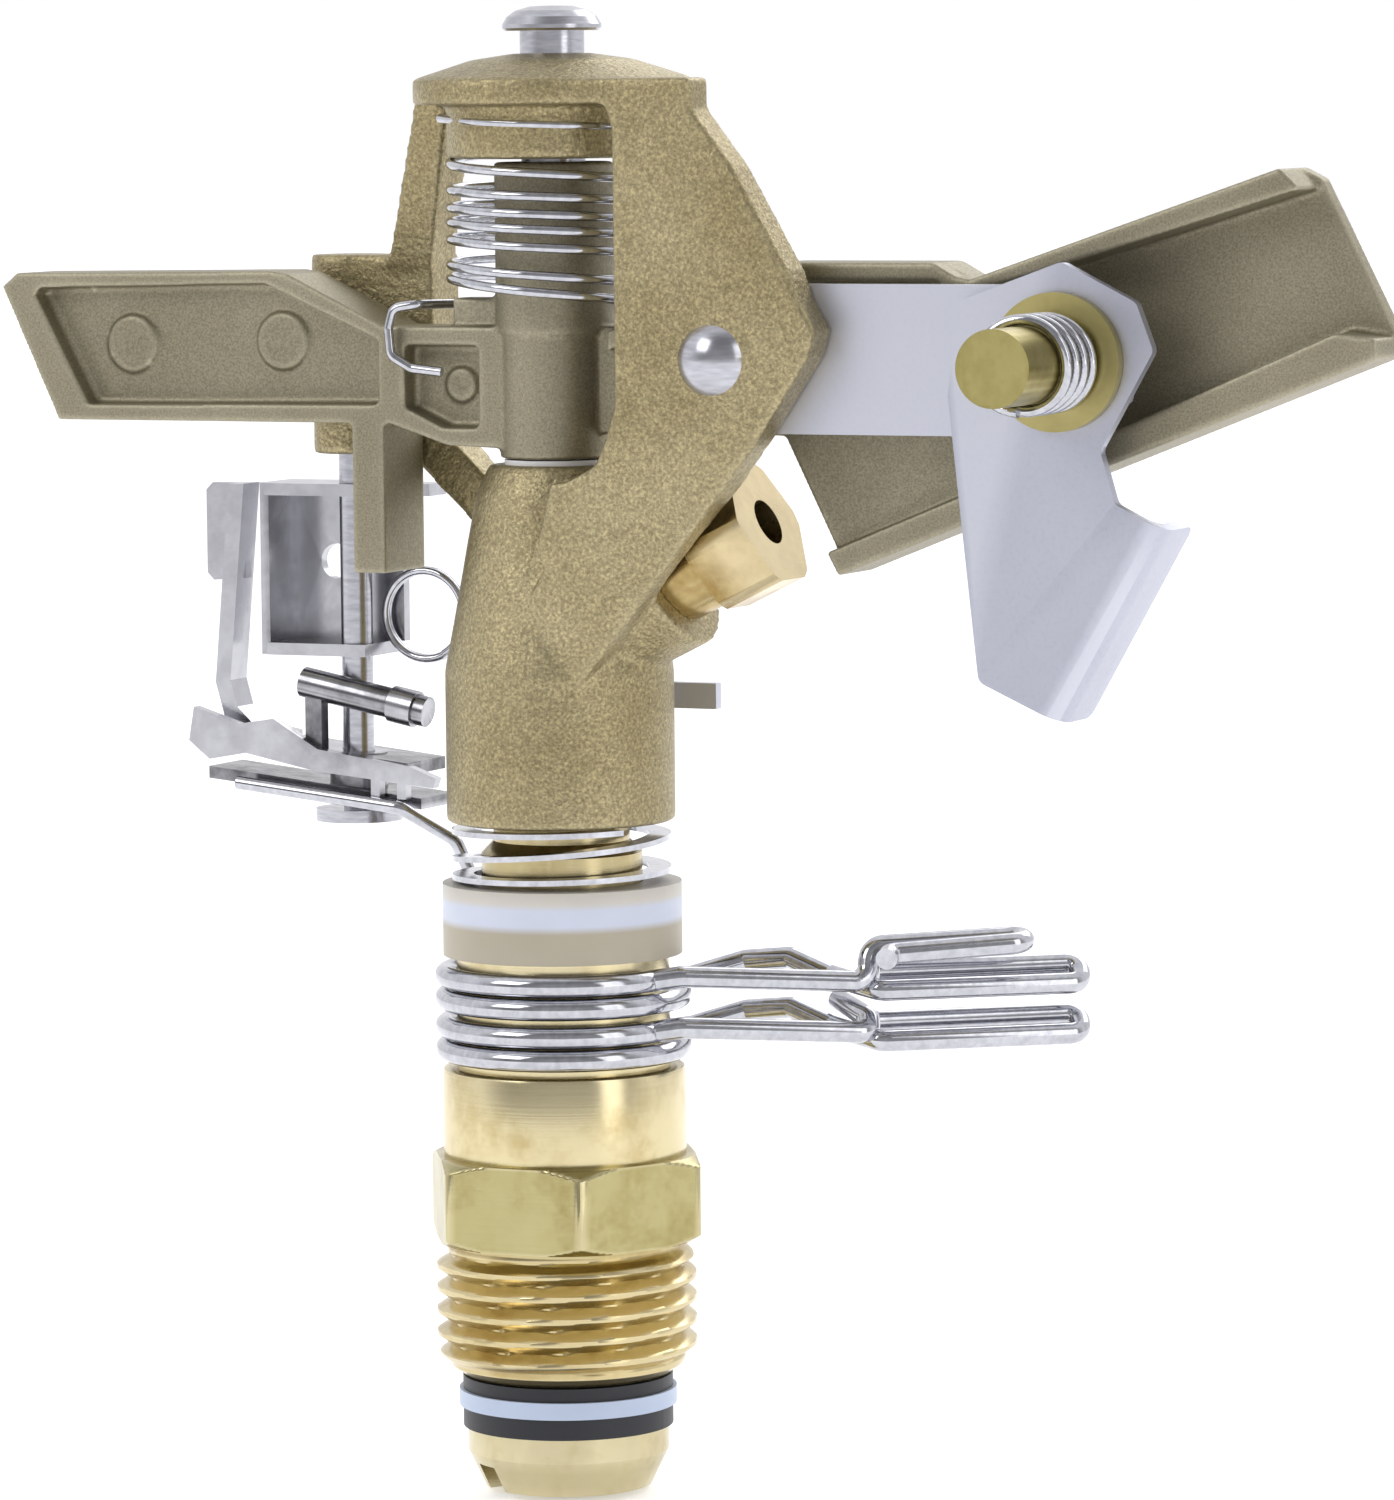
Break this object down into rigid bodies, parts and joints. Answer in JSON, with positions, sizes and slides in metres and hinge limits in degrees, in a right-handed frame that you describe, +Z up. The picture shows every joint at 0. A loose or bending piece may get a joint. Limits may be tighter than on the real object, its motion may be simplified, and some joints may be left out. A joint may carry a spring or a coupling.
{
  "type": "impact sprinkler",
  "caption": "Part-circle impact sprinkler with a threaded inlet, sprung drive arm, riveted deflector and trip gear.",
  "frame": {"origin": "riser axis at the first crest of the inlet thread", "axes": "+Z up the riser, +X the way the jet leaves in plan"},
  "size_m": [0.1197, 0.0438, 0.1191],
  "materials": {
    "machined_brass": "turned, bright",
    "yellow_brass": "yellow brass, plain",
    "cast_bronze": "sand cast, sparkly",
    "arm_bronze": "die cast, matte",
    "nylon_clear": "milky, translucent",
    "nylon_white": "opaque white",
    "black_rubber": "smooth black",
    "white_ptfe": "cool white",
    "polished_wire": "polished stainless wire",
    "sheet_steel": "dull stainless sheet",
    "pin_steel": "polished stainless"
  },
  "bodies": {
    "base": {"inlet_nipple": "machined_brass", "bearing_hood": "nylon_clear", "hood_liner": "nylon_white"},
    "lower_collar": {"collar_lower": "polished_wire"},
    "upper_collar": {"collar_upper": "polished_wire"},
    "rotor": {"stem_tube": "machined_brass", "seal_washer_lower": "black_rubber", "seal_washer_middle": "white_ptfe", "seal_washer_upper": "black_rubber", "stem_spring": "polished_wire", "body_casting": "cast_bronze", "nozzle": "machined_brass", "fulcrum_pin": "pin_steel", "thrust_washer": "nylon_white", "arm_spring": "polished_wire", "deflector_strap": "sheet_steel", "strap_rivet": "pin_steel", "deflector_screw": "yellow_brass", "deflector_washer": "yellow_brass", "deflector_screw_spring": "polished_wire", "trip_pin": "pin_steel", "rear_stop_tab": "sheet_steel"},
    "arm": {"drive_arm": "arm_bronze"},
    "flap": {"deflector_flap": "sheet_steel"},
    "latch": {"trip_latch": "sheet_steel", "overcentre_spring": "polished_wire"},
    "lever": {"trip_lever": "sheet_steel"},
    "wire": {"trip_wire": "polished_wire"}
  },
  "joints": [
    {"name": "rotor_turn", "type": "hinge", "parent": "base", "child": "rotor", "pos_m": [0, 0, -0.0024], "axis": [0, 0, 1], "continuous": true},
    {"name": "arm_swing", "type": "hinge", "parent": "rotor", "child": "arm", "pos_m": [0, 0, 0.0776], "axis": [0, 0, 1], "range_deg": [0, 100], "stiffness_Nm_per_rad": 0.006, "springref_deg": -28.65, "deforming": ["arm_spring"]},
    {"name": "flap_tilt", "type": "hinge", "parent": "rotor", "child": "flap", "pos_m": [0.0461, -0.006, 0.07985], "axis": [0, 1, 0], "range_deg": [-8, 22]},
    {"name": "lever_swing", "type": "hinge", "parent": "rotor", "child": "lever", "pos_m": [-0.0222, 0.0075, 0.0526], "axis": [0, 0, 1], "range_deg": [-12, 12]},
    {"name": "latch_swing", "type": "hinge", "parent": "rotor", "child": "latch", "pos_m": [-0.0222, 0.0075, 0.0616], "axis": [0, 0, 1], "range_deg": [-12, 12], "deforming": ["overcentre_spring"]},
    {"name": "wire_flip", "type": "hinge", "parent": "lever", "child": "wire", "pos_m": [-0.02, 0.00275, 0.04303], "axis": [0.9944, 0, -0.1061], "range_deg": [0, 60]},
    {"name": "lower_collar_set", "type": "hinge", "parent": "base", "child": "lower_collar", "pos_m": [0, 0, 0.0254], "axis": [0, 0, 1], "continuous": true},
    {"name": "upper_collar_set", "type": "hinge", "parent": "base", "child": "upper_collar", "pos_m": [0, 0, 0.0293], "axis": [0, 0, 1], "continuous": true}
  ],
  "couplings": [
    {"joint": "latch_swing", "follows": "lever_swing", "ratio": -1}
  ]
}
